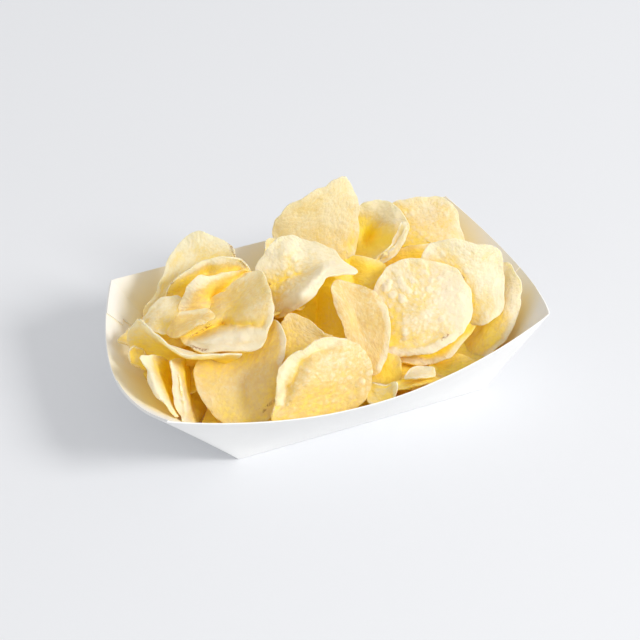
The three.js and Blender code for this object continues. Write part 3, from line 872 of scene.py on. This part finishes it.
def drape(piece, radius, rim, middle):
    """Holds the sheet at its middle and at several places round its rim, and moves those."""
    held = {}
    for i, place in enumerate(rim):
        turn = math.radians(360 / len(rim) * i)
        start = Vector((radius * math.cos(turn), radius * math.sin(turn), 0))
        held[nearest(piece, start)] = Vector(place)
    held[nearest(piece, Vector())] = Vector(middle)
    holds = piece.vertex_groups.new(name="holds")
    holds.add(list(held), 1, "REPLACE")
    take(piece)
    modifier = piece.modifiers.new("drape", "LAPLACIANDEFORM")
    modifier.vertex_group = holds.name
    modifier.iterations = 1
    bpy.ops.object.laplaciandeform_bind(modifier="drape")
    for index, place in held.items():
        start = piece.data.vertices[index].co.copy()
        pick(piece, points=lambda p: (p - start).length < ON_BENCH)
        bpy.ops.transform.translate(value=place - start)
        done()
    bpy.ops.object.modifier_apply(modifier="drape")
    # The sheet is stiff and falls short of its outline here and there.
    for index, place in held.items():
        start = piece.data.vertices[index].co
        pull(piece, start, place - start, min(TAKE_UP, radius / 2))


def from_line(p, start, end):
    """How far a point is from a line across the sheet, as it is seen from the front."""
    start = Vector(start)
    along = Vector(end) - start
    share = min(1, max(0, (p.xy - start).dot(along) / along.length_squared))
    return (p.xy - start - along * share).length


def fold_along(piece, start, end, depth, width):
    """Presses the sheet forwards or back along a line across it."""
    pick(piece, points=lambda p: from_line(p, start, end) < 1)
    bpy.ops.transform.translate(value=(0, 0, depth), use_proportional_edit=True,
                                proportional_edit_falloff="SHARP", proportional_size=width)
    done()


def draw_lines(piece, name, lines):
    """Keeps how near each point is to a few lines across the sheet, each of its own width."""
    kept = piece.data.attributes[name].data
    for width, *places in lines:
        for start, end in zip(places, places[1:]):
            for point in piece.data.vertices:
                near = 1 - from_line(point.co, start, end) / width
                kept[point.index].value = max(near, kept[point.index].value)


def keep_raised(piece, before):
    """Adds to how high each point was raised, from where it stood before."""
    raised = piece.data.attributes["raised"].data
    for point in piece.data.vertices:
        raised[point.index].value += (point.co - before[point.index]).length


def add_bubble(piece, place, radius, height):
    before = [p.co.copy() for p in piece.data.vertices]
    pull(piece, place, (0, 0, height), radius, "SPHERE")
    keep_raised(piece, before)


def add_blisters(piece, height, order):
    """Raises small bubbles in patches, fewer towards the rim."""
    patches = piece.vertex_groups.new(name="patches")
    rim = piece.data.attributes["rim"].data
    for point in piece.data.vertices:
        where = Vector((point.co.x * PATCHES["fineness"], point.co.y * PATCHES["fineness"],
                        order * PATCHES["step"]))
        amount = PATCHES["share"] + PATCHES["spread"] * noise.noise(where)
        amount *= 1 - rim[point.index].value ** 6
        patches.add([point.index], min(1, max(0, amount)), "REPLACE")
    before = [p.co.copy() for p in piece.data.vertices]
    displace(piece, BIG_BLISTERS, height, patches.name, middle=0)
    displace(piece, SMALL_BLISTERS, height * RELIEF["small"], patches.name, middle=0)
    keep_raised(piece, before)


def add_relief(piece, order, buckle, blisters):
    """Blisters the sheet and buckles it, most of all at its rim."""
    piece.location = (order * BENCH["step"], BENCH["back"], 0)
    if blisters:
        add_blisters(piece, blisters, order)
    displace(piece, WAVES, buckle * RELIEF["waves"], "towards_rim")
    displace(piece, BUCKLES, buckle * RELIEF["buckles"], "towards_rim",
             direction="RGB_TO_XYZ")
    displace(piece, DIMPLES, RELIEF["dimples"], "")
    piece.location = (0, 0, 0)


def curl_sheet(piece, angles):
    """Curls the sheet along its length and then across its width."""
    upright = math.radians(90)
    piece.rotation_euler = (-upright, 0, 0)
    settle(piece)
    for axis, angle in zip("ZX", angles):
        if angle:
            apply_modifier(piece, "SIMPLE_DEFORM", deform_method="BEND", deform_axis=axis,
                           angle=math.radians(angle))
    piece.rotation_euler = (upright, 0, 0)
    settle(piece)


# ---------------------------------------------------------------- the heap


def put_in_heap(piece, at, lean, facing):
    """Moves the crisp into the heap, clear of the tray, and gives it its thickness."""
    piece.rotation_euler = (math.radians(lean), 0, math.radians(facing))
    piece.scale = (MM, MM, MM)
    piece.location = Vector(at) * MM
    settle(piece)
    apply_modifier(piece, "SHRINKWRAP", target=room, wrap_method="NEAREST_SURFACEPOINT",
                   wrap_mode="INSIDE")
    apply_modifier(piece, "SOLIDIFY", thickness=CRISP["thickness"] * MM, offset=0)
    apply_modifier(piece, "BEVEL", limit_method="ANGLE", angle_limit=math.radians(60),
                   width=CRISP["edge"] * MM, segments=1)


def crisp(form, order, name, at, size=(), rim=(), middle=(), folds=(), lean=LEAN,
          facing=FACING, spin=0, curl=(0, 0), buckle=1, blisters=0, bubbles=(), tint=0.5,
          toast=0, pale_and_highlight=(), painted_shade=(), marks=()):
    """Shapes one crisp in millimetres, then puts it in its place in the heap."""
    radius = sum(Vector(place[:2]).length for place in rim) / max(1, len(rim))
    piece = lay_out(blanks[form["sides"]], name, size or (2 * radius, 2 * radius), order,
                    dict(tint=tint, toast=toast, raised=0, pale_and_highlight=0, painted_shade=0, scorched=0))
    if rim:
        average = sum((Vector(place) for place in rim), Vector()) / len(rim)
        drape(piece, radius, rim, middle or average)
    for fold in folds:
        fold_along(piece, *fold)
    apply_modifier(piece, "SUBSURF", levels=form["halvings"], render_levels=form["halvings"])
    for bubble in bubbles:
        add_bubble(piece, *bubble)
    # Lines made lighter: partly cream crust, partly painted highlight where rims and flanks catch
    # the light.
    draw_lines(piece, "pale_and_highlight", pale_and_highlight)
    # Lines of painted shade, deep gold where the crisp lies in shadow.
    draw_lines(piece, "painted_shade", painted_shade)
    draw_lines(piece, "scorched", marks)
    add_relief(piece, order, buckle, blisters)
    if any(curl):
        curl_sheet(piece, curl)
    piece.rotation_euler = (0, 0, math.radians(spin))
    settle(piece)
    put_in_heap(piece, at, lean, facing)
    return piece


def row_crisps(first):
    """The plainer crisps that stand in rows, in one order through all the rows."""
    pieces = []
    for row in ROWS:
        for i in range(row["count"]):
            share = i / (row["count"] - 1)
            uneven = ROW_SPREAD["most"] * math.sin(ROW_SPREAD["pace"] * len(pieces))
            at = Vector(row["start"]).lerp(Vector(row["end"]), share)
            facing = row["facing"][0] + (row["facing"][1] - row["facing"][0]) * share
            more_curl = ROW_SPREAD["curl"][0] + uneven * ROW_SPREAD["curl"][1]
            pieces.append(crisp(
                PLAIN, first + len(pieces), "row_crisp", at,
                size=(ROW_CRISP["length"] + uneven, ROW_CRISP["width"] - uneven),
                lean=row["lean"] + ROW_SPREAD["lean"] * uneven, facing=facing,
                spin=ROW_CRISP["turn"] * len(pieces),
                curl=[angle * more_curl for angle in ROW_CRISP["curl"]],
                buckle=ROW_CRISP["buckle"], toast=ROW_CRISP["toast"],
                tint=ROW_SPREAD["tint"][0] + ROW_SPREAD["tint"][1] * uneven))
    return pieces


def make_core():
    """The broken crisps at the bottom, built up level by level and left rough."""
    deselect_all()
    bpy.ops.mesh.primitive_plane_add(size=MM)
    core = named("crisp_core")
    edit(core, "faces")
    select_all()
    level, length, width = CORE[0]
    bpy.ops.transform.resize(value=(length, width, 1))
    bpy.ops.transform.translate(value=(CORE_RIGHT * MM, 0, level * MM))
    bpy.ops.mesh.subdivide(number_cuts=ROUGH["cuts"])
    for height, next_length, next_width in CORE[1:]:
        rise = (0, 0, (height - level) * MM)
        bpy.ops.mesh.extrude_region_move(TRANSFORM_OT_translate={"value": rise})
        bpy.ops.transform.resize(value=(next_length / length, next_width / width, 1),
                                 center_override=(CORE_RIGHT * MM, 0, height * MM))
        level, length, width = height, next_length, next_width
    select_all()
    bpy.ops.mesh.normals_make_consistent(inside=False)
    done()
    loose = core.vertex_groups.new(name="loose")
    above = [p.index for p in core.data.vertices if p.co.z > ROUGH["above"] * MM]
    loose.add(above, 1, "REPLACE")
    apply_modifier(core, "SUBSURF", subdivision_type="SIMPLE", levels=1, render_levels=1)
    displace(core, RUBBLE, ROUGH["depth"] * MM, loose.name)
    return core


# ---------------------------------------------------------------- the object

skin = tray_skin()
tray = tray_paper(skin)
flaps = joined([glue_flap(skin, *place) for place in FLAPS], "tray_flaps")
room = room_for_crisps(skin)
bpy.data.objects.remove(skin)
paper = white_paper()
for piece in (tray, flaps):
    soften(piece, 40)
    paint(piece, paper)
    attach(piece, "root")
    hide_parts("tray")

blanks = {form["sides"]: crisp_blank(form) for form in (FINE, PLAIN, SMALL)}
smooth_crisps = []
blistered_crisps = []
for order, entry in enumerate(CRISPS):
    made = crisp(order=order, **{"form": FINE, **entry})
    (blistered_crisps if entry.get("blisters") else smooth_crisps).append(made)
hidden_crisps = row_crisps(len(CRISPS))
for helper in [*blanks.values(), room]:
    bpy.data.objects.remove(helper)

potato = fried_potato()
heap = [
    joined(smooth_crisps[:7], "crisps_back_left"),
    joined(smooth_crisps[7:14], "crisps_front_left"),
    joined(smooth_crisps[14:21], "crisps_middle"),
    joined(smooth_crisps[21:], "crisps_front_right"),
    joined(blistered_crisps, "crisps_blistered"),
    joined(hidden_crisps, "crisps_within"),
    make_core(),
]
for piece in heap:
    piece.data.validate()
    soften(piece, 45)
    paint(piece, potato)
    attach(piece, "root")
    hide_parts("crisps")

# ---------------------------------------------------------------- floor, light and camera

deselect_all()
bpy.ops.mesh.primitive_plane_add(size=6)
floor = named("studio_floor")
paint(floor, studio_sweep())

TARGET = Vector((3.2, 16.2, 20)) * MM
EYE = Vector((-312.1, -698.7, 615.2)) * MM
SENSOR = 36
LENS = 113.2
# The key light: the way to it from the object, how far off it is in metres, its size and power.
KEY = {"way": (0.54, -0.62, 0.57), "distance": 2.6, "size": 0.9, "power": 38.5}
KEY_COLOUR = (1, 0.985, 0.965)
SURROUND = {"colour": (0.99, 0.993, 1, 1), "strength": 0.71}


def aimed(name, data, place):
    """Puts a light or camera at a place, looking at the object."""
    thing = bpy.data.objects.new(name, data)
    bpy.context.scene.collection.objects.link(thing)
    thing.location = place
    thing.rotation_euler = (TARGET - place).to_track_quat("-Z", "Y").to_euler()
    return thing


key_light = bpy.data.lights.new("key", "AREA")
key_light.shape = "DISK"
key_light.size = KEY["size"]
key_light.energy = KEY["power"]
key_light.color = KEY_COLOUR
aimed("key", key_light, TARGET + Vector(KEY["way"]) * KEY["distance"])

world = bpy.data.worlds.new("soft_surround")
world.use_nodes = True
background = world.node_tree.nodes["Background"]
background.inputs["Color"].default_value = SURROUND["colour"]
background.inputs["Strength"].default_value = SURROUND["strength"]
scene = bpy.context.scene
scene.world = world

camera_data = bpy.data.cameras.new("camera")
camera_data.sensor_width = SENSOR
camera_data.lens = LENS
scene.camera = aimed("camera", camera_data, EYE)
scene.view_settings.view_transform = "Standard"
# Light has to find its way between the crisps, and out again.
scene.cycles.max_bounces = 20
scene.cycles.diffuse_bounces = 16
